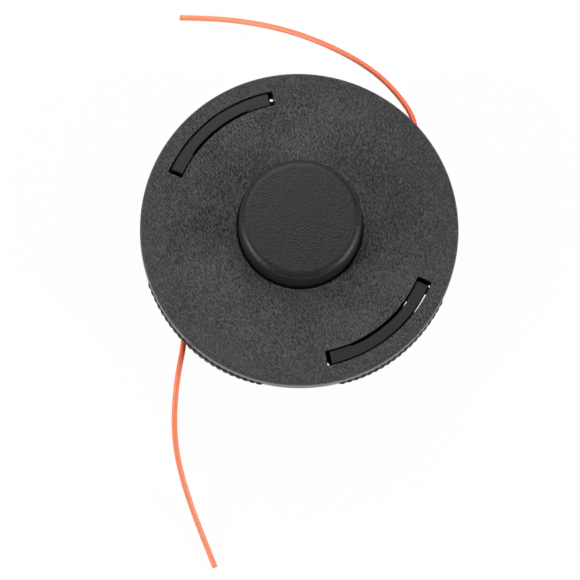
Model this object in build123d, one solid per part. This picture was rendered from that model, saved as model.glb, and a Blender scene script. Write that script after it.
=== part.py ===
from build123d import *
import os
from math import cos, radians, sin, tan

# Tap-feed line trimmer head, knob side up, in millimetres.
# The origin is on the thread axis at the hub's seat face. Line guides lie on X, latches on Y.

# Trimming line
line_d = 2.4
lead_gap = 0.3              # air between a winding and the line that leaves it

# Hub and arbor nut
hub_r = 24.0
hub_height = 9.5
hub_groove_inner_r = 13.0
hub_groove_outer_r = 21.0
hub_groove_depth = 7.0
hub_web = 1.8
hub_web_count = 6
bolt_hole_r = 5.2
nut_floor = 3.0             # hub wall that the nut bears on
nut_across_flats = 17.0
nut_bore_r = 4.46           # minor radius of an M10 x 1 left-hand thread
nut_chamfer = 0.8
nut_neck_r = 7.0            # round neck inside the spring
nut_neck_height = 2.5
nut_fit = 0.1

# Drum, guide post and ribs
floor_wall = 2.5
drum_wall = 2.5
drum_corner = 3.0
drum_clear = 2.0            # air between the drum and the spool's flanges
lip_clear = 2.0             # air between the drum's lip and the cover
post_r = 13.0
post_wall = 2.4
rib_wall = 2.0
rib_count = 12
rib_low_z = 2.5

# Spool and knob
flange_wall = 2.0
mid_flange_short = 8.0      # middle flange inside the edge of the outer ones
chamber_width = 9.25
core_r = 24.5
core_wall = 2.5
bearing_gap = 0.3
bearing_wall = 2.2
spoke_wall = 1.8
spoke_count = 3
knob_r = 25.55
knob_draft = 0.4
knob_rise = 15.5
knob_roof = 3.5
knob_round = 3.3
flange_round = 0.8

# Feed stops
travel = 6.0
dog_count = 8
dog_width = 5.0             # degrees
dog_height = 3.2
dog_gap = 0.3
dog_inner_r = 29.5
dog_outer_r = 36.0
dog_lead = 11.25            # degrees from a spool dog to the stop ahead of it
rest_gap = 0.1              # pieces of two bodies that press on each other

# Winding
winding_short = 5.5         # room left on the spool outside the line
winding_gap = 0.1
winding_round = 1.2

# Spring and washer
spring_wire_d = 1.4
spring_r = 9.0
spring_turns = 7
washer_wall = 1.2
washer_r = 12.7
washer_bore_r = 5.0

# Cover
head_r = 66.0
cover_wall = 2.5
skirt_height = 8.3
skirt_wall = 2.5
skirt_flare = 0.3
rim_round = 2.0
hole_gap = 0.45
hole_round = 0.8
collar_wall = 2.2
crown_r = 40.0              # flat middle of the cover
crown_drop = 0.8            # fall of the cone from there to the rim
cover_fit = 0.3

# Arc slots and latches
rim_band = 6.75             # cover between a slot and the edge
slot_width = 6.35
slot_span = 56.1            # degrees
slot_clear = 0.4            # from the drum to the slots
slot_corner = 0.7
latch_gap = 0.5
latch_start_gap = 2.0       # degrees between slot end and tongue, clockwise end
latch_end_gap = 1.9         # degrees, other end
latch_sink = 0.8
latch_head_wall = 2.1
latch_arm_wall = 2.0
latch_flex = 2.1            # room for the arm to bend inwards
latch_arm_span = 34.0       # degrees
latch_length = 16.5
latch_relief = 0.7
latch_relief_turn = 1.0     # degrees from each side of the arm to the relief
latch_round = 0.4
bridge_wall = 2.0
ledge_span = 28.0           # degrees
ledge_overlap = 0.5
ledge_gap = 0.2
ledge_wall = 1.9
window_gap = 0.9            # air outside a latch arm in the shelf
window_flex = 1.2           # room inside it
window_turn = 0.6           # degrees past each side of the arm
slit_width = 0.75           # slit under the end of a tongue
slit_out = 0.15             # its reach past the slot's outer edge
slit_span = 8.8             # degrees
slit_short = 4.0            # degrees from the slot's end
drain_r = 0.8
drain_out = 1.4             # from the slot's middle radius
drain_turn = 0.5            # degrees inside each end of the slot
vent_r = 0.55
vent_in = 0.5               # from the slot's outer edge

# Rim of the housing
shelf_wall = 2.0
rim_height = 6.0
rim_wall = 2.3
rim_setback = 2.0           # plain rim behind the skirt's edge
knurl_proud = 0.45
knurl_depth = 0.4
knurl_pitch = 2.6           # degrees
guide_pad_ribs = 22
guide_pad_turn = 9.0        # degrees from a line guide to the middle of its grip pad
latch_pad_ribs = 19
pad_end_height = 1.0
gusset_wall = 1.8
gusset_depth = 9.0          # at the drum
gusset_tip = 3.0            # at the rim
gusset_angles = (22.0, 38.0, 53.0)
spigot_height = 2.3
spigot_wall = 1.4
key_width = 6.0
key_height = 2.0
key_depth = 1.0
key_angle = 47.0

# Line guides
eyelet_bore_r = 1.7
eyelet_barrel_r = 3.4
eyelet_flange_r = 5.0
eyelet_flange_wall = 1.5
eyelet_mouth = 1.3
eyelet_fit = 0.1
boss_r = 6.4
boss_proud = 0.5

# Inner run of the line, from a winding to its guide
lead_step = 2.6             # from the winding out to the bend before the guide
lead_drop = 2.6             # height of a winding's last turn from the spool's middle

# Levels, from the seat face up
floor_top = hub_height + floor_wall
spool_z = floor_top + dog_gap + travel + dog_height
spool_top = spool_z + 3 * flange_wall + 2 * chamber_width
spool_mid = (spool_z + spool_top) / 2
cover_under = spool_top + dog_height + dog_gap
face_z = cover_under + cover_wall
shelf_top = face_z - skirt_height
rim_z = shelf_top - rim_height
drum_top = cover_under - lip_clear
knob_top = face_z + knob_rise
roof_z = knob_top - knob_roof
rim_face_z = face_z - crown_drop
slot_outer_r = head_r - rim_band
slot_inner_r = slot_outer_r - slot_width
slot_mid_r = (slot_inner_r + slot_outer_r) / 2
slot_face_z = face_z - crown_drop * (slot_mid_r - crown_r) / (head_r - crown_r)
latch_top = slot_face_z - latch_sink
latch_under = latch_top - latch_head_wall
latch_root = latch_under - latch_length
ledge_top = latch_under - ledge_gap

# Radii that follow
drum_outer_r = slot_inner_r - slot_clear
drum_inner_r = drum_outer_r - drum_wall
flange_r = drum_inner_r - drum_clear
mid_flange_r = flange_r - mid_flange_short
winding_r = flange_r - winding_short
skirt_edge_r = head_r + skirt_flare
skirt_inner_r = head_r - skirt_wall
spigot_r = skirt_inner_r - cover_fit
rim_r = skirt_edge_r - rim_setback
rim_inner_r = rim_r - rim_wall
bore_r = post_r + bearing_gap
hole_r = knob_r + hole_gap
collar_r = hole_r + collar_wall
arm_inner_r = drum_outer_r + latch_flex
arm_outer_r = arm_inner_r + latch_arm_wall
latch_outer_r = slot_outer_r - latch_gap
latch_inner_r = slot_inner_r + latch_gap
ledge_r = latch_outer_r - ledge_overlap
mouth_x = drum_outer_r + boss_proud + eyelet_flange_wall
lead_r = winding_r + lead_gap + line_d / 2
lead_corner_x = lead_r + lead_step
dog_pitch = 360 / dog_count
slot_angles = (90.0, 270.0)
guide_angles = (0.0, 180.0)
overlap = 0.4               # depth by which fused features reach into each other
arc_share = 0.45            # share of a line's shorter run that an arc takes up

# Free line ends, as they lie: out of the guide, round and down to the surface below
line_end_1_route = [
    (54.5, 0.0, 33.75), (60.1, 0.0, 33.75), (65.6, 2.1, 33.7), (69.7, 6.4, 33.6), (71.7, 12.4, 33.3),
    (72.2, 20.5, 32.5), (71.7, 30.5, 30.6), (69.9, 41.2, 27.4), (66.8, 52.5, 23.3), (62.5, 64.0, 18.6),
    (57.1, 75.7, 13.6), (50.3, 87.4, 8.7), (41.9, 98.6, 4.4), (32.4, 108.6, 1.8), (24.9, 115.1, 1.25),
]
line_end_2_route = [
    (-54.5, 0.0, 33.75), (-59.7, 0.0, 33.75), (-64.7, -2.2, 33.75), (-69.8, -6.2, 33.5), (-76.2, -11.9, 32.2),
    (-83.4, -19.1, 29.2), (-90.2, -27.0, 24.9), (-96.3, -35.9, 19.5), (-101.3, -45.7, 13.6), (-105.5, -56.2, 8.2),
    (-109.2, -67.2, 4.0), (-112.3, -78.0, 1.6), (-114.0, -84.4, 1.25),
]


def polar(radius, angle):
    """Point at a radius and an angle in degrees about the head's axis."""
    return (radius * cos(radians(angle)), radius * sin(radians(angle)))


def turned(points, rounds=()):
    """Closed (radius, height) outline turned about the head's axis, with the named corners rounded."""
    section = make_face(Polyline(*points, close=True))
    for corner, radius in rounds:
        section = fillet(section.vertices().sort_by_distance(corner)[0], radius)
    return revolve(Plane.XZ * section, Axis.Z)


def ring(inner_r, outer_r, z_low, z_high):
    """Flat ring about the head's axis."""
    return Pos(0, 0, z_low) * extrude(Circle(outer_r) - Circle(inner_r), z_high - z_low)


def sector(inner_r, outer_r, middle, span):
    """Face between two arcs about the axis and two radial sides."""
    inner = CenterArc((0, 0), inner_r, middle - span / 2, span)
    outer = CenterArc((0, 0), outer_r, middle - span / 2, span)
    return make_face([inner, outer, Line(inner @ 0, outer @ 0), Line(inner @ 1, outer @ 1)])


def arc_block(inner_r, outer_r, middle, span, z_low, z_high):
    """Sector raised from one level to another."""
    return Pos(0, 0, z_low) * extrude(sector(inner_r, outer_r, middle, span), z_high - z_low)


def radial_plate(points, wall, angle):
    """Closed (radius, height) outline made a flat plate that stands on a radius of the head."""
    plate = extrude(Plane.XZ * make_face(Polyline(*points, close=True)), wall / 2, both=True)
    return Rot(0, 0, angle) * plate


def dog_ring(z_low, first_angle):
    """Ring of stop teeth."""
    angles = [first_angle + i * dog_pitch for i in range(dog_count)]
    return [arc_block(dog_inner_r, dog_outer_r, a, dog_width, z_low, z_low + dog_height + overlap) for a in angles]


def knurled_pad(middle, count):
    """Thick arc of the rim with a scallop to each grip rib and a lower edge that hangs lowest in the middle."""
    span = count * knurl_pitch
    start = middle - span / 2
    crest_r = skirt_edge_r + knurl_proud
    valley_r = crest_r - knurl_depth
    steps = [start + i * knurl_pitch for i in range(count)]
    scallops = [
        ThreePointArc(polar(valley_r, a), polar(crest_r, a + knurl_pitch / 2), polar(valley_r, a + knurl_pitch))
        for a in steps
    ]
    inner = CenterArc((0, 0), rim_inner_r, start, span)
    ends = [Line(inner @ 0, scallops[0] @ 0), Line(inner @ 1, scallops[-1] @ 1)]
    pad = Pos(0, 0, rim_z) * extrude(make_face([*scallops, inner, *ends]), rim_height)
    half_chord = crest_r * sin(radians(span / 2))
    rise = rim_height - pad_end_height
    belly_r = (half_chord ** 2 + rise ** 2) / (2 * rise)
    belly = Pos(crest_r, 0, rim_z + belly_r) * Rot(0, 90, 0) * Cylinder(belly_r, 2 * crest_r)
    return pad & (Rot(0, 0, middle) * belly)


def latch(middle):
    """Sprung tongue: a bridge on the drum, an upright arm and a barbed head that fills the slot."""
    head_span = slot_span - latch_start_gap - latch_end_gap
    head_middle = middle + (latch_start_gap - latch_end_gap) / 2
    head = arc_block(latch_inner_r, latch_outer_r, head_middle, head_span, latch_under, latch_top)
    relief_r = latch_inner_r + latch_relief
    relief_span = latch_arm_span - 2 * latch_relief_turn
    head -= arc_block(latch_inner_r - overlap, relief_r, middle, relief_span, latch_under, latch_top)
    head = fillet(head.edges().group_by(Axis.Z)[-1], latch_round)
    arm = arc_block(arm_inner_r, arm_outer_r, middle, latch_arm_span, latch_root, latch_under + overlap)
    bridge_r = drum_outer_r - overlap
    bridge_top = latch_root + overlap
    bridge = arc_block(bridge_r, arm_outer_r, middle, latch_arm_span, latch_root - bridge_wall, bridge_top)
    return head + arm + bridge


def guide_bore(angle):
    """Hole through the drum wall and its boss for one line guide."""
    return Rot(0, 0, angle) * Pos(drum_outer_r, 0, spool_mid) * Rot(0, 90, 0) * Cylinder(
        eyelet_barrel_r + eyelet_fit, 4 * drum_wall)


def guide_boss(angle):
    """Raised seat on the drum wall for one line guide's flange."""
    length = drum_wall / 2 + boss_proud
    centre = Pos(drum_outer_r + boss_proud - length / 2, 0, spool_mid)
    return Rot(0, 0, angle) * centre * Rot(0, 90, 0) * Cylinder(boss_r, length)


def shelf_openings(middle):
    """Cuts in the shelf for one latch: the arm's window, a slit and a hole at one end, a hole at the other."""
    low = shelf_top - shelf_wall
    arm_span = latch_arm_span + 2 * window_turn
    window = arc_block(arm_inner_r - window_flex, arm_outer_r + window_gap, middle, arm_span, low, shelf_top)
    slit_r = slot_outer_r + slit_out
    slit_middle = middle + slot_span / 2 - slit_short - slit_span / 2
    slit = arc_block(slit_r - slit_width, slit_r, slit_middle, slit_span, low, shelf_top)
    turn = slot_span / 2 - drain_turn
    drain = Pos(*polar(slot_mid_r + drain_out, middle - turn), low) * Cylinder(drain_r, 4 * shelf_wall)
    vent = Pos(*polar(slot_outer_r - vent_in, middle + turn), low) * Cylinder(vent_r, 4 * shelf_wall)
    return [window, slit, drain, vent]


def housing():
    """Drum with its hub, guide post, knurled rim, latches and stops, one moulding."""
    post_inner_r = post_r - post_wall
    body = turned(
        [
            (0, 0), (hub_r, 0), (hub_r, hub_height), (drum_outer_r, hub_height),
            (drum_outer_r, shelf_top - shelf_wall), (rim_inner_r, shelf_top - shelf_wall), (rim_inner_r, rim_z),
            (rim_r, rim_z), (rim_r, shelf_top), (drum_outer_r, shelf_top), (drum_outer_r, drum_top),
            (drum_inner_r, drum_top), (drum_inner_r, floor_top), (post_r, floor_top), (post_r, spool_top),
            (post_inner_r, spool_top), (post_inner_r, floor_top), (0, floor_top),
        ],
        rounds=[((drum_outer_r, hub_height), drum_corner)],
    )
    body -= ring(hub_groove_inner_r, hub_groove_outer_r, 0, hub_groove_depth)
    webs = [
        radial_plate(
            [
                (hub_groove_inner_r - overlap, 0), (hub_groove_outer_r + overlap, 0),
                (hub_groove_outer_r + overlap, hub_height), (hub_groove_inner_r - overlap, hub_height),
            ],
            hub_web, i * 360 / hub_web_count,
        )
        for i in range(hub_web_count)
    ]
    ribs = [
        radial_plate(
            [
                (hub_r - overlap, rib_low_z), (drum_outer_r - drum_corner, hub_height - overlap),
                (drum_outer_r - drum_corner, hub_height + overlap), (hub_r - overlap, hub_height + overlap),
            ],
            rib_wall, (i + 0.5) * 360 / rib_count,
        )
        for i in range(rib_count)
    ]
    gusset_top = shelf_top - shelf_wall + overlap
    gussets = [
        radial_plate(
            [
                (drum_outer_r - overlap, gusset_top), (rim_inner_r + overlap, gusset_top),
                (rim_inner_r + overlap, gusset_top - gusset_tip), (drum_outer_r - overlap, gusset_top - gusset_depth),
            ],
            gusset_wall, side * angle + guide,
        )
        for guide in guide_angles for side in (-1, 1) for angle in gusset_angles
    ]
    pads = [knurled_pad(a + guide_pad_turn, guide_pad_ribs) for a in guide_angles]
    pads += [knurled_pad(a, latch_pad_ribs) for a in slot_angles]
    spigot = ring(spigot_r - spigot_wall, spigot_r, shelf_top - overlap, shelf_top + spigot_height)
    key_r = skirt_inner_r + key_depth
    keys = [
        Rot(0, 0, guide + side * key_angle) * Pos((spigot_r - overlap + key_r) / 2, 0, shelf_top)
        * Box(key_r - spigot_r + overlap, key_width, 2 * key_height)
        for guide in guide_angles for side in (-1, 1)
    ]
    bosses = [guide_boss(a) for a in guide_angles]
    stops = dog_ring(floor_top - overlap, -dog_lead)
    body += [*webs, *ribs, *gussets, *pads, spigot, *keys, *bosses, *stops]
    openings = [cut for a in slot_angles for cut in shelf_openings(a)]
    nut_pocket = Pos(0, 0, nut_floor) * extrude(
        RegularPolygon(nut_across_flats / 2 + nut_fit, 6, major_radius=False), floor_top)
    bolt_hole = Cylinder(bolt_hole_r, 4 * nut_floor)
    body -= [*openings, nut_pocket, bolt_hole, *[guide_bore(a) for a in guide_angles]]
    return body + [latch(a) for a in slot_angles]


def arbor_nut():
    """Steel hexagon nut with a round neck, in the hub, with a plain bore at the thread's minor radius."""
    height = floor_top - nut_floor
    nut = Pos(0, 0, nut_floor) * extrude(RegularPolygon(nut_across_flats / 2, 6, major_radius=False), height)
    nut += Pos(0, 0, floor_top - overlap) * extrude(Circle(nut_neck_r), nut_neck_height + overlap)
    nut -= Pos(0, 0, nut_floor) * Cylinder(nut_bore_r, 4 * (height + nut_neck_height))
    return chamfer(nut.edges().filter_by(GeomType.CIRCLE).group_by(SortBy.RADIUS)[0], nut_chamfer)


def eyelet(angle):
    """Bell-mouthed steel line guide with its flange outside the drum."""
    inner_x = drum_inner_r
    seat_x = drum_outer_r + boss_proud
    mouth_r = eyelet_bore_r + eyelet_mouth
    outline = [
        Line((inner_x, mouth_r), (inner_x, eyelet_barrel_r)),
        Line((inner_x, eyelet_barrel_r), (seat_x, eyelet_barrel_r)),
        Line((seat_x, eyelet_barrel_r), (seat_x, eyelet_flange_r)),
        Line((seat_x, eyelet_flange_r), (mouth_x, eyelet_flange_r)),
        Line((mouth_x, eyelet_flange_r), (mouth_x, mouth_r)),
        RadiusArc((mouth_x, mouth_r), (mouth_x - eyelet_mouth, eyelet_bore_r), -eyelet_mouth),
        Line((mouth_x - eyelet_mouth, eyelet_bore_r), (inner_x + eyelet_mouth, eyelet_bore_r)),
        RadiusArc((inner_x + eyelet_mouth, eyelet_bore_r), (inner_x, mouth_r), -eyelet_mouth),
    ]
    guide = revolve(Plane.XZ * make_face(outline), Axis.X)
    return Rot(0, 0, angle) * Pos(0, 0, spool_mid) * guide


def cover():
    """Lid with a turned-down skirt, a collared hole for the knob and two stepped latch slots."""
    lid = turned(
        [
            (hole_r, spool_top + rest_gap), (collar_r, spool_top + rest_gap), (collar_r, cover_under),
            (skirt_inner_r, cover_under), (skirt_inner_r, shelf_top), (skirt_edge_r, shelf_top),
            (head_r, rim_face_z), (crown_r, face_z), (hole_r, face_z),
        ],
        rounds=[((head_r, rim_face_z), rim_round), ((hole_r, face_z), hole_round)],
    )
    ledges = [
        arc_block(ledge_r, skirt_inner_r + overlap, a, ledge_span, ledge_top - ledge_wall, cover_under + overlap)
        for a in slot_angles
    ]
    lid += ledges + dog_ring(cover_under - dog_height, dog_lead)
    slots = [
        Pos(0, 0, ledge_top) * extrude(
            fillet(sector(slot_inner_r, slot_outer_r, a, slot_span).vertices(), slot_corner), face_z - ledge_top)
        for a in slot_angles
    ]
    key_r = skirt_inner_r + key_depth + cover_fit
    key_ways = [
        Rot(0, 0, guide + side * key_angle) * Pos(key_r - key_depth, 0, shelf_top)
        * Box(2 * key_depth, key_width + 2 * cover_fit, 2 * (key_height + cover_fit))
        for guide in guide_angles for side in (-1, 1)
    ]
    return lid - slots - key_ways


def tap_spool():
    """Two-chamber spool whose closed end is the knob, open below, on a bearing tube held by spokes."""
    pocket_r = core_r - core_wall
    lower_top = spool_z + flange_wall
    mid_low = lower_top + chamber_width
    mid_top = mid_low + flange_wall
    upper_low = mid_top + chamber_width
    knob_edge_r = knob_r - knob_draft
    spool = turned(
        [
            (pocket_r, spool_z), (flange_r, spool_z), (flange_r, lower_top), (core_r, lower_top),
            (core_r, mid_low), (mid_flange_r, mid_low), (mid_flange_r, mid_top), (core_r, mid_top),
            (core_r, upper_low), (flange_r, upper_low), (flange_r, spool_top), (knob_r, spool_top),
            (knob_edge_r, knob_top), (0, knob_top), (0, roof_z), (pocket_r, roof_z),
        ],
        rounds=[
            ((knob_edge_r, knob_top), knob_round), ((flange_r, spool_z), flange_round),
            ((flange_r, spool_top), flange_round),
        ],
    )
    bearing_r = bore_r + bearing_wall
    bearing = ring(bore_r, bearing_r, spool_z, roof_z + overlap)
    spokes = [
        radial_plate(
            [
                (bearing_r - overlap, spool_z), (pocket_r + overlap, spool_z),
                (pocket_r + overlap, roof_z + overlap), (bearing_r - overlap, roof_z + overlap),
            ],
            spoke_wall, i * 360 / spoke_count,
        )
        for i in range(spoke_count)
    ]
    upper_dogs = dog_ring(spool_top - overlap, 0)
    lower_dogs = dog_ring(spool_z - dog_height, 0)
    return spool + [bearing, *spokes, *upper_dogs, *lower_dogs]


def winding(z_low):
    """Line wound in one chamber of the spool, as one ring."""
    inner_r = core_r + winding_gap
    low = z_low + winding_gap
    high = z_low + chamber_width - winding_gap
    return turned(
        [(inner_r, low), (winding_r, low), (winding_r, high), (inner_r, high)],
        rounds=[((winding_r, low), winding_round), ((winding_r, high), winding_round)],
    )


def spring():
    """Compression spring from the hub's floor to the washer."""
    wire_r = spring_wire_d / 2
    low = floor_top + wire_r
    length = roof_z - 2 * rest_gap - washer_wall - wire_r - low
    path = Pos(0, 0, low) * Helix(length / spring_turns, length, spring_r)
    wire = Plane(path @ 0, z_dir=path % 0) * Circle(wire_r)
    return sweep(wire, path=path, is_frenet=True)


def spring_washer():
    """Steel washer between the spring and the spool's roof."""
    return ring(washer_bore_r, washer_r, roof_z - rest_gap - washer_wall, roof_z - rest_gap)


def cord(name, points):
    """Line along straight runs and tangent arcs, each arc as large as its two runs allow."""
    route = [Vector(*p) for p in points]
    runs = [b - a for a, b in zip(route, route[1:])]
    radii = [
        arc_share * min(a.length, b.length) / tan(radians(a.get_angle(b)) / 2) for a, b in zip(runs, runs[1:])
    ]
    path = FilletPolyline(*route, radius=radii)
    section = Plane(path @ 0, z_dir=path % 0) * Circle(line_d / 2)
    tube = sweep(section, path=path)
    print(f"{name}: length {path.length:.1f} mm, radii {[round(r, 1) for r in radii]}")
    print(f"{name}: volume {tube.volume:.1f}, section times length {section.area * path.length:.1f}")
    return tube


def line_lead(name, angle, rise):
    """Line from the last turn of a winding, round to the guide and out to its mouth."""
    run = (lead_corner_x ** 2 - lead_r ** 2) ** 0.5
    start_x = lead_r ** 2 / lead_corner_x
    start_y = -lead_r * run / lead_corner_x
    points = [(start_x, start_y, spool_mid + rise), (lead_corner_x, 0, spool_mid), (mouth_x, 0, spool_mid)]
    return Rot(0, 0, angle) * cord(name, points)


parts = {
    "housing": housing(),
    "arbor_nut": arbor_nut(),
    "eyelet_1": eyelet(guide_angles[0]),
    "eyelet_2": eyelet(guide_angles[1]),
    "cover": cover(),
    "tap_spool": tap_spool(),
    "line_winding_lower": winding(spool_z + flange_wall),
    "line_winding_upper": winding(spool_z + 2 * flange_wall + chamber_width),
    "spring": spring(),
    "spring_washer": spring_washer(),
    "line_lead_1": line_lead("line_lead_1", guide_angles[0], lead_drop),
    "line_lead_2": line_lead("line_lead_2", guide_angles[1], -lead_drop),
    "line_end_1": cord("line_end_1", line_end_1_route),
    "line_end_2": cord("line_end_2", line_end_2_route),
}

os.makedirs("parts", exist_ok=True)
for name, part in parts.items():
    export_step(part, f"parts/{name}.step")
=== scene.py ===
import math
import bpy
import numpy as np
from mathutils import Matrix, Vector


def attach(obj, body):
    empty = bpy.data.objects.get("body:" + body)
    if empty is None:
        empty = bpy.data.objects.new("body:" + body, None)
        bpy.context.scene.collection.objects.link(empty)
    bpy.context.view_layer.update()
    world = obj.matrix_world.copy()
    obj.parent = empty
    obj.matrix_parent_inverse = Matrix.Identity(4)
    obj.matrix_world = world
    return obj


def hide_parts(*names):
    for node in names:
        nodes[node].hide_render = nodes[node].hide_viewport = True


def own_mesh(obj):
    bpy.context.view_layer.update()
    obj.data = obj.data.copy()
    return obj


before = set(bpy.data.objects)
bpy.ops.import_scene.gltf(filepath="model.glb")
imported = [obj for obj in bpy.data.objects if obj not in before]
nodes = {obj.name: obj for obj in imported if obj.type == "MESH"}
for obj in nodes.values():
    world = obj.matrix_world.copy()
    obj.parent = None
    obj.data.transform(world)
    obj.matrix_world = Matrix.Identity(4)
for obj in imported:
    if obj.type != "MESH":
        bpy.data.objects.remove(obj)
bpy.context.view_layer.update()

print("frame loaded:", len(nodes), "nodes")

# one millimetre in metres; every piece is in the frame's metres
mm = 0.001


# new node material; gives back the material, its node tree and its shader
def startMaterial(name):
    material = bpy.data.materials.new(name)
    material.use_nodes = True
    tree = material.node_tree
    return material, tree, tree.nodes["Principled BSDF"]


# new node; each setting goes to the node's own property, or else to its input of that name
def addNode(tree, kind, **settings):
    node = tree.nodes.new(kind)
    for key, value in settings.items():
        if hasattr(node, key):
            setattr(node, key, value)
        else:
            node.inputs[key.replace("_", " ")].default_value = value
    return node


# one sum in a node tree: first and second joined by the operation, each a number or a linked value
def mathNode(tree, operation, first, second):
    node = tree.nodes.new("ShaderNodeMath")
    node.operation = operation
    for socket, value in zip(node.inputs, (first, second)):
        if isinstance(value, (int, float)):
            socket.default_value = value
        else:
            tree.links.new(value, socket)
    return node.outputs[0]


# value held in a range: the input between two limits, read off as a share between two outputs
def rangeNode(tree, value, fromLow, fromHigh, toLow, toHigh):
    node = tree.nodes.new("ShaderNodeMapRange")
    tree.links.new(value, node.inputs["Value"])
    limits = {"From Min": fromLow, "From Max": fromHigh, "To Min": toLow, "To Max": toHigh}
    for key, number in limits.items():
        if isinstance(number, (int, float)):
            node.inputs[key].default_value = number
        else:
            tree.links.new(number, node.inputs[key])
    return node.outputs[0]


# distance from the object's axis: length of the coordinates with z set to nothing
def axisDistance(tree, coords):
    flat = addNode(tree, "ShaderNodeVectorMath", operation="MULTIPLY")
    tree.links.new(coords, flat.inputs[0])
    flat.inputs[1].default_value = (1, 1, 0)
    reach = addNode(tree, "ShaderNodeVectorMath", operation="LENGTH")
    tree.links.new(flat.outputs[0], reach.inputs[0])
    return reach.outputs["Value"]


# the span of a noise that holds nearly all of its values
noiseLow = 0.3
noiseHigh = 0.7


# moulded nylon: strokes from a stretched and warped noise, cells from a voronoi and a fine haze, added up
# as a height; it bumps the surface and tones it, more on the upper faces (by z), less towards the rim;
# the lower faces (by z) turn to a darker flat side colour, which is painted shade
def makeNylon(name, look):
    material, tree, shader = startMaterial(name)
    link = tree.links.new
    coords = tree.nodes.new("ShaderNodeTexCoord").outputs["Object"]
    warp = addNode(tree, "ShaderNodeTexNoise", Scale=look["warpScale"], Detail=1.0)
    link(coords, warp.inputs["Vector"])
    pushed = addNode(tree, "ShaderNodeVectorMath", operation="MULTIPLY_ADD")
    link(warp.outputs["Color"], pushed.inputs[0])
    pushed.inputs[1].default_value = (look["warp"],) * 3
    link(coords, pushed.inputs[2])
    stretched = addNode(tree, "ShaderNodeMapping", vector_type="TEXTURE")
    link(pushed.outputs[0], stretched.inputs["Vector"])
    stretched.inputs["Rotation"].default_value = (0, 0, math.radians(look["grainAngle"]))
    stretched.inputs["Scale"].default_value = (look["stretch"], 1, 1)
    strokes = addNode(tree, "ShaderNodeTexNoise", Scale=look["strokeScale"], Detail=1.5, Roughness=0.55)
    link(stretched.outputs[0], strokes.inputs["Vector"])
    cells = addNode(tree, "ShaderNodeTexVoronoi", feature="F1", Scale=look["cellScale"])
    link(stretched.outputs[0], cells.inputs["Vector"])
    haze = addNode(tree, "ShaderNodeTexNoise", Scale=look["hazeScale"], Detail=1.0)
    link(coords, haze.inputs["Vector"])
    patches = addNode(tree, "ShaderNodeTexNoise", Scale=look["patchScale"], Detail=1.0)
    link(coords, patches.inputs["Vector"])
    stroke = strokes.outputs["Fac"]
    strokeHeight = rangeNode(tree, stroke, noiseLow, noiseHigh, -look["strokes"], look["strokes"])
    cellHeight = rangeNode(tree, cells.outputs["Distance"], 0.0, 0.9, look["cells"], -look["cells"])
    hazeHeight = rangeNode(tree, haze.outputs["Fac"], noiseLow, noiseHigh, -look["haze"], look["haze"])
    height = mathNode(tree, "ADD", mathNode(tree, "ADD", strokeHeight, cellHeight), hazeHeight)
    parts = addNode(tree, "ShaderNodeSeparateXYZ")
    link(coords, parts.inputs[0])
    upper = rangeNode(tree, parts.outputs["Z"], look["sideZ"], look["topZ"], 0.0, 1.0)
    reach = axisDistance(tree, coords)
    inner = rangeNode(tree, reach, look["fullR"], look["fadeR"], 1.0, look["rimGrain"])
    patchShare = rangeNode(tree, patches.outputs["Fac"], 0.35, 0.65, look["patchLow"], 1.0)
    share = mathNode(tree, "MULTIPLY", mathNode(tree, "MULTIPLY", inner, patchShare), upper)
    bump = addNode(tree, "ShaderNodeBump", Distance=look["depth"])
    link(mathNode(tree, "MULTIPLY", share, look["bump"]), bump.inputs["Strength"])
    link(height, bump.inputs["Height"])
    link(bump.outputs["Normal"], shader.inputs["Normal"])
    tone = mathNode(tree, "MULTIPLY_ADD", mathNode(tree, "MULTIPLY", height, share), look["toneGain"])
    link(rangeNode(tree, reach, look["fullR"], look["fadeR"], 0.5, look["rimTone"]), tone.node.inputs[2])
    colours = tree.nodes.new("ShaderNodeValToRGB")
    colours.color_ramp.elements[0].color = (*look["pit"], 1)
    colours.color_ramp.elements[1].color = (*look["crest"], 1)
    link(tone, colours.inputs["Fac"])
    # the lower faces take the side colour, a darker flat copy of the nylon: painted shade
    base = addNode(tree, "ShaderNodeMix", data_type="RGBA")
    link(upper, base.inputs["Factor"])
    base.inputs[6].default_value = (*look["side"], 1)
    link(colours.outputs["Color"], base.inputs[7])
    link(base.outputs[2], shader.inputs["Base Color"])
    topRough = rangeNode(tree, stroke, noiseLow, noiseHigh, look["roughLow"], look["roughHigh"])
    link(rangeNode(tree, upper, 0.0, 1.0, look["sideRough"], topRough), shader.inputs["Roughness"])
    shader.inputs["Specular IOR Level"].default_value = look["gloss"]
    return material


# in each look the side colour is a darker flat copy of the nylon for the lower faces: painted shade
coverLook = dict(
    warpScale=160.0, warp=0.0016, grainAngle=72.0, stretch=2.0, strokeScale=1900.0, cellScale=1700.0,
    hazeScale=3200.0, patchScale=60.0, strokes=0.8, cells=0.35, haze=0.2, depth=0.0004, bump=1.0,
    sideZ=0.0485, topZ=0.0508, fullR=0.050, fadeR=0.058, rimGrain=0.7, rimTone=0.31, patchLow=0.75,
    toneGain=1.0, pit=(0.006, 0.0057, 0.0062), crest=(0.092, 0.0884, 0.094), side=(0.030, 0.029, 0.031),
    roughLow=0.40, roughHigh=0.56, sideRough=0.34, gloss=0.5)
knobLook = dict(
    warpScale=120.0, warp=0.002, grainAngle=160.0, stretch=2.0, strokeScale=1300.0, cellScale=1500.0,
    hazeScale=3000.0, patchScale=80.0, strokes=0.6, cells=0.2, haze=0.2, depth=0.0002, bump=0.35,
    sideZ=0.060, topZ=0.066, fullR=0.020, fadeR=0.0255, rimGrain=0.6, rimTone=0.5, patchLow=0.5,
    toneGain=0.7, pit=(0.004, 0.0038, 0.0042), crest=(0.024, 0.0234, 0.0247), side=(0.012, 0.0117, 0.0123),
    roughLow=0.38, roughHigh=0.46, sideRough=0.38, gloss=0.34)
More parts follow.
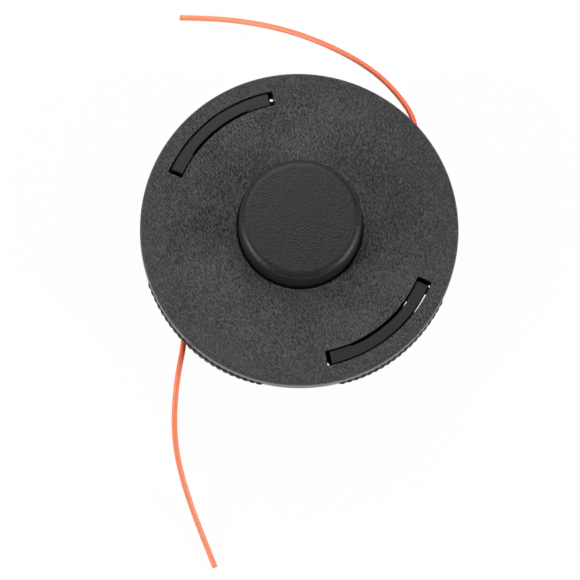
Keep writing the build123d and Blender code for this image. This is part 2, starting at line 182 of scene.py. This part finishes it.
housingLook = dict(
    warpScale=160.0, warp=0.002, grainAngle=0.0, stretch=1.6, strokeScale=1400.0, cellScale=1500.0,
    hazeScale=3000.0, patchScale=60.0, strokes=0.5, cells=0.2, haze=0.2, depth=0.0002, bump=0.3,
    sideZ=0.044, topZ=0.0495, fullR=0.055, fadeR=0.066, rimGrain=0.6, rimTone=0.5, patchLow=0.6,
    toneGain=0.5, pit=(0.005, 0.005, 0.0052), crest=(0.022, 0.0215, 0.0226), side=(0.009, 0.009, 0.0093),
    roughLow=0.45, roughHigh=0.58, sideRough=0.62, gloss=0.33)
coverNylon = makeNylon("coverNylon", coverLook)
knobNylon = makeNylon("knobNylon", knobLook)
housingNylon = makeNylon("housingNylon", housingLook)


# plated steel: fine streaks along the height from a stretched noise, plus cloudy tone from a soft one
def makeSteel(name, look):
    material, tree, shader = startMaterial(name)
    link = tree.links.new
    coords = tree.nodes.new("ShaderNodeTexCoord").outputs["Object"]
    lengthened = addNode(tree, "ShaderNodeMapping")
    link(coords, lengthened.inputs["Vector"])
    lengthened.inputs["Scale"].default_value = look["streakScale"]
    streaks = addNode(tree, "ShaderNodeTexNoise", Scale=1.0, Detail=3.0)
    link(lengthened.outputs[0], streaks.inputs["Vector"])
    clouds = addNode(tree, "ShaderNodeTexNoise", Scale=look["cloudScale"], Detail=2.0)
    link(coords, clouds.inputs["Vector"])
    colours = tree.nodes.new("ShaderNodeValToRGB")
    colours.color_ramp.elements[0].color = (*look["dark"], 1)
    colours.color_ramp.elements[1].color = (*look["light"], 1)
    link(clouds.outputs["Fac"], colours.inputs["Fac"])
    link(colours.outputs["Color"], shader.inputs["Base Color"])
    rough = rangeNode(tree, streaks.outputs["Fac"], 0.0, 1.0, look["roughLow"], look["roughHigh"])
    link(rough, shader.inputs["Roughness"])
    bump = addNode(tree, "ShaderNodeBump", Strength=look["bump"], Distance=look["depth"])
    link(streaks.outputs["Fac"], bump.inputs["Height"])
    link(bump.outputs["Normal"], shader.inputs["Normal"])
    shader.inputs["Metallic"].default_value = 1.0
    return material


zincLook = dict(streakScale=(900.0, 900.0, 120.0), cloudScale=180.0, dark=(0.50, 0.49, 0.46),
                light=(0.72, 0.71, 0.69), roughLow=0.22, roughHigh=0.42, bump=0.2, depth=0.00005)
springLook = dict(streakScale=(1500.0, 1500.0, 1500.0), cloudScale=240.0, dark=(0.30, 0.30, 0.31),
                  light=(0.50, 0.50, 0.51), roughLow=0.25, roughHigh=0.4, bump=0.2, depth=0.00005)
zincSteel = makeSteel("zincSteel", zincLook)
springSteel = makeSteel("springSteel", springLook)


# extruded nylon line: the tone goes from deep near the head to pale at the cut end, by distance from the
# axis, shifted by a soft blotch; the deep end is painted shade under the head, and the paler tones further
# out are painted light shining through the thin line
def makeLineNylon(name, look):
    material, tree, shader = startMaterial(name)
    link = tree.links.new
    coords = tree.nodes.new("ShaderNodeTexCoord").outputs["Object"]
    share = rangeNode(tree, axisDistance(tree, coords), look["near"], look["far"], 0.0, 1.0)
    blotch = addNode(tree, "ShaderNodeTexNoise", Scale=look["blotchScale"], Detail=2.0)
    link(coords, blotch.inputs["Vector"])
    shifted = mathNode(tree, "MULTIPLY_ADD", blotch.outputs["Fac"], look["blotch"])
    link(share, shifted.node.inputs[2])
    colours = tree.nodes.new("ShaderNodeValToRGB")
    colours.color_ramp.elements[0].color = (*look["shadedDeep"], 1)
    colours.color_ramp.elements[1].color = (*look["litPale"], 1)
    middle = colours.color_ramp.elements.new(look["middleAt"])
    middle.color = (*look["middle"], 1)
    link(shifted, colours.inputs["Fac"])
    link(colours.outputs["Color"], shader.inputs["Base Color"])
    shader.inputs["Roughness"].default_value = look["rough"]
    shader.inputs["Subsurface Weight"].default_value = look["glow"]
    shader.inputs["Subsurface Radius"].default_value = look["glowReach"]
    shader.inputs["Subsurface Scale"].default_value = 1.0
    return material


# the deep colour near the head is painted shade; the middle and pale colours further out are painted light
# through the line
lineLook = dict(
    near=0.064, far=0.112, blotch=0.06, blotchScale=260.0, shadedDeep=(0.96, 0.115, 0.03),
    middle=(0.94, 0.205, 0.08), middleAt=0.35, litPale=(0.95, 0.285, 0.14), rough=0.36, glow=0.25,
    glowReach=(0.0012, 0.0006, 0.0004))
lineNylon = makeLineNylon("lineNylon", lineLook)


# a CAD node's finish: its mesh keeps one slot, with the given material
def dress(node, material):
    mesh = nodes[node].data
    mesh.materials.clear()
    mesh.materials.append(material)


finishes = {
    "cover": coverNylon, "tap_spool": knobNylon, "housing": housingNylon, "eyelet_1": zincSteel,
    "eyelet_2": zincSteel, "spring_washer": zincSteel, "line_lead_1": lineNylon, "line_lead_2": lineNylon,
}
for node, material in finishes.items():
    dress(node, material)
print("finishes on", len(finishes), "nodes")

# the two free line ends: listed points in millimetres, out of the eyelet, round and down to the floor
lineEnds = {
    "lineEndUpper": dict(node="line_end_1", length=0.1454, points=[
        (54.5, 0.0, 33.75), (60.1, 0.0, 33.75), (65.6, 2.1, 33.7), (69.4, 6.6, 33.6), (71.3, 12.6, 33.3),
        (72.1, 20.6, 32.5), (72.0, 31.0, 30.6), (70.4, 41.8, 27.4), (67.3, 53.1, 23.3), (63.1, 64.7, 18.6),
        (57.7, 76.4, 13.6), (50.7, 87.9, 8.7), (42.2, 99.0, 4.4), (32.9, 108.4, 1.8), (26.6, 113.9, 1.25)]),
    "lineEndLower": dict(node="line_end_2", length=0.115, points=[
        (-54.5, 0.0, 33.75), (-59.6, -0.2, 33.75), (-63.8, -2.9, 33.75), (-68.3, -7.4, 33.5),
        (-75.0, -12.9, 32.2), (-82.4, -19.9, 29.2), (-89.4, -27.6, 24.9), (-95.6, -36.4, 19.5),
        (-100.5, -46.3, 13.6), (-104.6, -56.9, 8.2), (-108.2, -68.0, 4.0), (-111.4, -78.6, 1.6),
        (-113.2, -84.2, 1.25)]),
}
lineDiameter = 0.0024


# free line: a round bevel carried along a quadratic spline whose control points are the given route
def makeLineEnd(name, route):
    points = np.array(route["points"]) * mm
    curve = bpy.data.curves.new(name, "CURVE")
    curve.dimensions = "3D"
    spline = curve.splines.new("NURBS")
    spline.points.add(len(points) - 1)
    spline.points.foreach_set("co", np.c_[points, np.ones(len(points))].ravel())
    spline.order_u = 3
    spline.use_endpoint_u = True
    spline.resolution_u = 10
    curve.bevel_depth = lineDiameter / 2
    curve.bevel_resolution = 6
    curve.use_fill_caps = True
    curve.materials.append(lineNylon)
    piece = bpy.data.objects.new(name, curve)
    bpy.context.collection.objects.link(piece)
    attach(piece, "housing")
    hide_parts(route["node"])
    return piece


for name, route in lineEnds.items():
    makeLineEnd(name, route)
print("line ends:", len(lineEnds))


# mesh piece from points in metres and faces, on its body, in the place of its CAD node
def addPiece(name, points, faces, smooth, look):
    mesh = bpy.data.meshes.new(name)
    mesh.from_pydata(points.tolist(), [], faces)
    mesh.polygons.foreach_set("use_smooth", np.full(len(faces), smooth))
    mesh.update()
    mesh.materials.append(look["material"])
    piece = bpy.data.objects.new(name, mesh)
    bpy.context.collection.objects.link(piece)
    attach(piece, look["body"])
    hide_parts(look["node"])
    return piece


# four-cornered faces of a grid of points, closed along its columns; bands is the number of rows of faces,
# one less than the rows of points, or as many where the last row joins the first
def gridFaces(bands, rows, columns):
    row, column = np.mgrid[0:bands, 0:columns]
    rowAfter = (row + 1) % rows
    columnAfter = (column + 1) % columns
    corners = [row * columns + column, row * columns + columnAfter,
               rowAfter * columns + columnAfter, rowAfter * columns + column]
    return np.stack(corners, axis=-1).reshape(-1, 4).tolist()


# ring piece: a closed outline carried round the axis, outer side upwards first; radius and height are
# arrays over (outline point, turn), in millimetres
def makeRing(name, radius, height, smooth, look):
    rows, columns = radius.shape
    turn = np.linspace(0, 2 * np.pi, columns, endpoint=False)
    points = np.stack([radius * np.cos(turn), radius * np.sin(turn), height], axis=-1).reshape(-1, 3) * mm
    return addPiece(name, points, gridFaces(rows, rows, columns), smooth, look)


# low and high end of a CAD node, in millimetres
def nodeSpan(node):
    heights = [corner[2] / mm for corner in nodes[node].bound_box]
    return min(heights), max(heights)


# nut with the left-hand fine thread of the machine's spindle, in millimetres; grooveHalf and grooveSlope
# are shares of the pitch
nutLook = dict(
    node="arbor_nut", body="housing", slot="zinc_steel", material=zincSteel, halfFlats=8.5, cornerR=9.25,
    edge=0.5, shoulder=12.0, neckR=7.0, boreR=4.46, chamfer=0.8, pitch=1.0, stepsAPitch=10, groove=0.54,
    grooveHalf=0.4, grooveSlope=0.3, columns=96)


# nut: hexagon radius = half flats / cos(angle from the flat's middle), bevelled corners, round neck; the
# bore's radius grows by the groove depth where height / pitch + turn is near the middle of its step
def makeNut(look):
    low, high = nodeSpan(look["node"])
    turn = np.linspace(0, 2 * np.pi, look["columns"], endpoint=False)
    flats = look["halfFlats"] / np.cos(turn % (np.pi / 3) - np.pi / 6)
    bevel = np.minimum(flats, look["cornerR"])
    ring = np.ones_like(turn)
    mouth = look["boreR"] + look["chamfer"]
    drop = -look["pitch"] / look["stepsAPitch"]
    bore = np.arange(high - look["chamfer"], low + look["chamfer"], drop)[:, None]
    step = (bore / look["pitch"] + turn / (2 * np.pi)) % 1.0
    cut = np.clip((look["grooveHalf"] - np.abs(step - 0.5)) / look["grooveSlope"], 0, 1)
    wall = [(bevel, low), (flats, low + look["edge"]), (flats, look["shoulder"] - look["edge"]),
            (bevel, look["shoulder"]), (ring * look["neckR"], look["shoulder"]),
            (ring * look["neckR"], high), (ring * mouth, high)]
    radius = np.vstack([*[r for r, z in wall], look["boreR"] + look["groove"] * cut, ring * mouth])
    height = np.vstack([*[ring * z for r, z in wall], bore * ring, ring * low])
    makeRing("threadedNut", radius, height, False, look)


makeNut(nutLook)

# the two windings of line, in millimetres
windings = {
    "lowerWinding": dict(node="line_winding_lower", body="spool", slot="orange_line", material=lineNylon),
    "upperWinding": dict(node="line_winding_upper", body="spool", slot="orange_line", material=lineNylon),
}
windingLook = dict(innerR=24.6, outerR=42.5, lineD=2.4, turns=4, rows=61, columns=180)


# winding: the outer wall is a row of round line sides that climbs one pitch a turn:
# radius = middle of the line + root(line radius squared - distance from the nearest turn squared)
def makeWinding(name, look, shape):
    low, high = nodeSpan(look["node"])
    turn = np.linspace(0, 2 * np.pi, shape["columns"], endpoint=False)
    level = np.linspace(low, high, shape["rows"])[:, None]
    pitch = (high - low) / shape["turns"]
    away = (((level - low) / pitch - turn / (2 * np.pi)) % 1.0 - 0.5) * pitch
    half = shape["lineD"] / 2
    outer = shape["outerR"] - half + np.sqrt(np.maximum(half ** 2 - away ** 2, 0))
    ring = np.ones_like(turn)
    radius = np.vstack([outer, ring * shape["innerR"], ring * shape["innerR"]])
    height = np.vstack([level * ring, ring * high, ring * low])
    makeRing(name, radius, height, True, look)


for name, look in windings.items():
    makeWinding(name, look, windingLook)
print("nut and windings made")

# compression spring, in millimetres
springShape = dict(
    node="spring", body="housing", slot="spring_steel", material=springSteel, coilR=9.0, wireR=0.7, turns=7,
    stepsATurn=40, columns=12, joint="knob_press")


# spring: a wire circle carried along a helix, centre = coil radius at the turn's angle, height = climb
# times turn; the circle's axes are the outward direction and the one square to it and to the wire
def makeSpring(shape):
    low, high = nodeSpan(shape["node"])
    rise = high - low - 2 * shape["wireR"]
    steps = shape["turns"] * shape["stepsATurn"]
    turn = np.linspace(0, 2 * np.pi * shape["turns"], steps + 1)
    outward = np.stack([np.cos(turn), np.sin(turn), 0 * turn], axis=-1)
    climb = rise / (2 * np.pi * shape["turns"])
    along = shape["coilR"] * np.stack([-np.sin(turn), np.cos(turn), 0 * turn], axis=-1)
    along[:, 2] = climb
    along /= np.linalg.norm(along, axis=1)[:, None]
    across = np.cross(along, outward)
    centre = outward * shape["coilR"]
    centre[:, 2] = low + shape["wireR"] + climb * turn
    angle = np.linspace(0, 2 * np.pi, shape["columns"], endpoint=False)[None, :, None]
    wire = np.cos(angle) * outward[:, None] + np.sin(angle) * across[:, None]
    points = (centre[:, None] + shape["wireR"] * wire).reshape(-1, 3) * mm
    faces = gridFaces(steps, steps + 1, shape["columns"])
    firstEnd = list(range(shape["columns"]))
    lastEnd = [steps * shape["columns"] + i for i in firstEnd]
    piece = addPiece("pressSpring", points, [*faces, firstEnd[::-1], lastEnd], True, shape)
    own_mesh(piece)


makeSpring(springShape)
print("spring made")

# the photograph's view: off the cover's face, leaning to the lower edge of the picture and a little to
# its left; lengths in millimetres and angles in degrees
view = dict(target=(0, 0, 51.5), distance=1000.0, lean=12.35, leanTurn=7.72, upAngle=50.8, aimRight=-4.0,
            aimUp=-26.6, lens=150.0, sensor=36.0, clipStart=50.0)


# the camera stands along the lean from the target and looks at the aim point, which is moved in the
# cover's plane; its sideways axis is the picture's, turned back by the roll of the sideways lean
def placeCamera(look):
    up = math.radians(look["upAngle"])
    imageUp = Vector((math.cos(up), math.sin(up), 0))
    imageRight = Vector((math.sin(up), -math.cos(up), 0))
    lean = math.radians(look["lean"])
    turn = math.radians(look["leanTurn"])
    target = Vector(look["target"]) * mm
    away = -(imageUp * math.cos(turn) + imageRight * math.sin(turn))
    skyward = Vector((0, 0, 1))
    place = target + (skyward * math.cos(lean) + away * math.sin(lean)) * look["distance"] * mm
    aim = target + (imageRight * look["aimRight"] + imageUp * look["aimUp"]) * mm
    forward = (aim - place).normalized()
    level = forward.cross(skyward).normalized()
    steep = level.cross(forward)
    right = level * math.cos(turn) + steep * math.sin(turn)
    upward = right.cross(forward)
    data = bpy.data.cameras.new("photoView")
    data.lens = look["lens"]
    data.sensor_width = look["sensor"]
    data.clip_start = look["clipStart"] * mm
    camera = bpy.data.objects.new("photoView", data)
    axes = Matrix((right, upward, -forward)).transposed()
    camera.matrix_world = Matrix.Translation(place) @ axes.to_4x4()
    bpy.context.collection.objects.link(camera)
    bpy.context.scene.camera = camera
    return imageRight, imageUp


imageRight, imageUp = placeCamera(view)
print("camera placed")

# white studio: a wide floor, soft lamps and an even world
studio = dict(floorHalf=3.0, floorTone=0.9, cameraShare=0.96, worldLight=0.1)


# floor: white diffuse for the light; rays from the camera, gloss and glass see it mostly as even white
def makeFloor(look):
    half = look["floorHalf"]
    mesh = bpy.data.meshes.new("studioFloor")
    corners = [(-half, -half, 0), (half, -half, 0), (half, half, 0), (-half, half, 0)]
    mesh.from_pydata(corners, [], [(0, 1, 2, 3)])
    floor = bpy.data.objects.new("studioFloor", mesh)
    bpy.context.collection.objects.link(floor)
    material = bpy.data.materials.new("studioWhite")
    material.use_nodes = True
    tree = material.node_tree
    tree.nodes.clear()
    link = tree.links.new
    rays = tree.nodes.new("ShaderNodeLightPath")
    seen = mathNode(tree, "MAXIMUM", rays.outputs["Is Camera Ray"], rays.outputs["Is Glossy Ray"])
    seen = mathNode(tree, "MAXIMUM", seen, rays.outputs["Is Transmission Ray"])
    share = mathNode(tree, "MULTIPLY", seen, look["cameraShare"])
    diffuse = addNode(tree, "ShaderNodeBsdfDiffuse", Color=(look["floorTone"],) * 3 + (1,))
    white = addNode(tree, "ShaderNodeEmission", Strength=1.0)
    mix = tree.nodes.new("ShaderNodeMixShader")
    link(share, mix.inputs["Fac"])
    link(diffuse.outputs[0], mix.inputs[1])
    link(white.outputs[0], mix.inputs[2])
    output = tree.nodes.new("ShaderNodeOutputMaterial")
    link(mix.outputs[0], output.inputs["Surface"])
    mesh.materials.append(material)


# world: even soft light, mixed by ray: plain white for the camera's own rays, low light for all others
def makeWorld(look):
    world = bpy.data.worlds.new("studioWorld")
    bpy.context.scene.world = world
    world.use_nodes = True
    tree = world.node_tree
    tree.nodes.clear()
    link = tree.links.new
    rays = tree.nodes.new("ShaderNodeLightPath")
    white = addNode(tree, "ShaderNodeBackground", Strength=1.0)
    even = addNode(tree, "ShaderNodeBackground", Strength=look["worldLight"])
    mix = tree.nodes.new("ShaderNodeMixShader")
    link(rays.outputs["Is Camera Ray"], mix.inputs["Fac"])
    link(even.outputs[0], mix.inputs[1])
    link(white.outputs[0], mix.inputs[2])
    output = tree.nodes.new("ShaderNodeOutputWorld")
    link(mix.outputs[0], output.inputs["Surface"])


# soft square lamps: places in metres in the picture's directions, powers in watts
lamps = {
    "topSoftbox": dict(right=-0.08, up=0.38, height=0.52, size=0.6, power=3.2),
    "leftSoftbox": dict(right=-0.78, up=-0.3, height=0.48, size=0.45, power=5.6),
    "rightSoftbox": dict(right=0.78, up=-0.3, height=0.48, size=0.45, power=6.2),
}
lampAim = Vector((0, 0, 0.05))


# a lamp stands at right, up and height from the origin and is turned to the middle of the head
def addLamp(name, look):
    data = bpy.data.lights.new(name, "AREA")
    data.size = look["size"]
    data.energy = look["power"]
    lamp = bpy.data.objects.new(name, data)
    place = imageRight * look["right"] + imageUp * look["up"] + Vector((0, 0, look["height"]))
    lamp.location = place
    lamp.rotation_mode = "QUATERNION"
    lamp.rotation_quaternion = (lampAim - place).to_track_quat("-Z", "Y")
    bpy.context.collection.objects.link(lamp)


makeFloor(studio)
makeWorld(studio)
for name, look in lamps.items():
    addLamp(name, look)
bpy.context.scene.view_settings.view_transform = "Standard"
print("studio lit")
